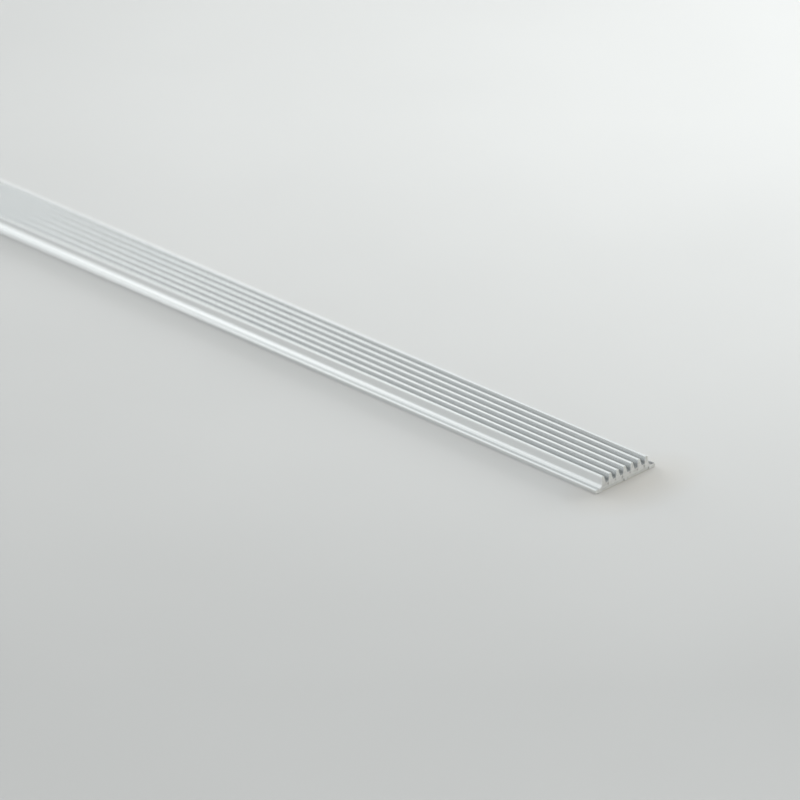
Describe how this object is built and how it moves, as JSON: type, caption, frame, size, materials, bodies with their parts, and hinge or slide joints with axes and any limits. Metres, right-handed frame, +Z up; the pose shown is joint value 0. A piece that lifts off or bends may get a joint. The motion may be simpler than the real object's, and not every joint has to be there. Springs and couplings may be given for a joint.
{
  "type": "threshold strip",
  "caption": "Straight ribbed aluminium threshold strip with a low flange along each side, bonded to the floor with foam tape under peel-off liners.",
  "frame": {"origin": "centre of the strip's footprint, on the plane it stands on (the lower face of the release liners)", "axes": "X along the strip, Y across it from the front flange (-Y) to the rear flange (+Y), +Z up to the rib tops"},
  "size_m": [0.73, 0.025, 0.0045],
  "materials": {
    "anodised_aluminium": "satin silver anodised, fine lengthwise extrusion lines, sawn ends bare",
    "foam_tape": "light grey closed-cell foam tape, adhesive on both faces",
    "release_paper": "pale buff silicone-coated release paper"
  },
  "bodies": {
    "strip": {"ribbed_tread": "anodised_aluminium", "front_mounting_tape": "foam_tape", "rear_mounting_tape": "foam_tape"},
    "front_liner": {"front_release_liner": "release_paper"},
    "rear_liner": {"rear_release_liner": "release_paper"}
  },
  "joints": [
    {"name": "front_liner_peel", "type": "slide", "parent": "strip", "child": "front_liner", "axis": [1, 0, 0], "range_m": [0, 0.74]},
    {"name": "rear_liner_peel", "type": "slide", "parent": "strip", "child": "rear_liner", "axis": [1, 0, 0], "range_m": [0, 0.74]}
  ]
}
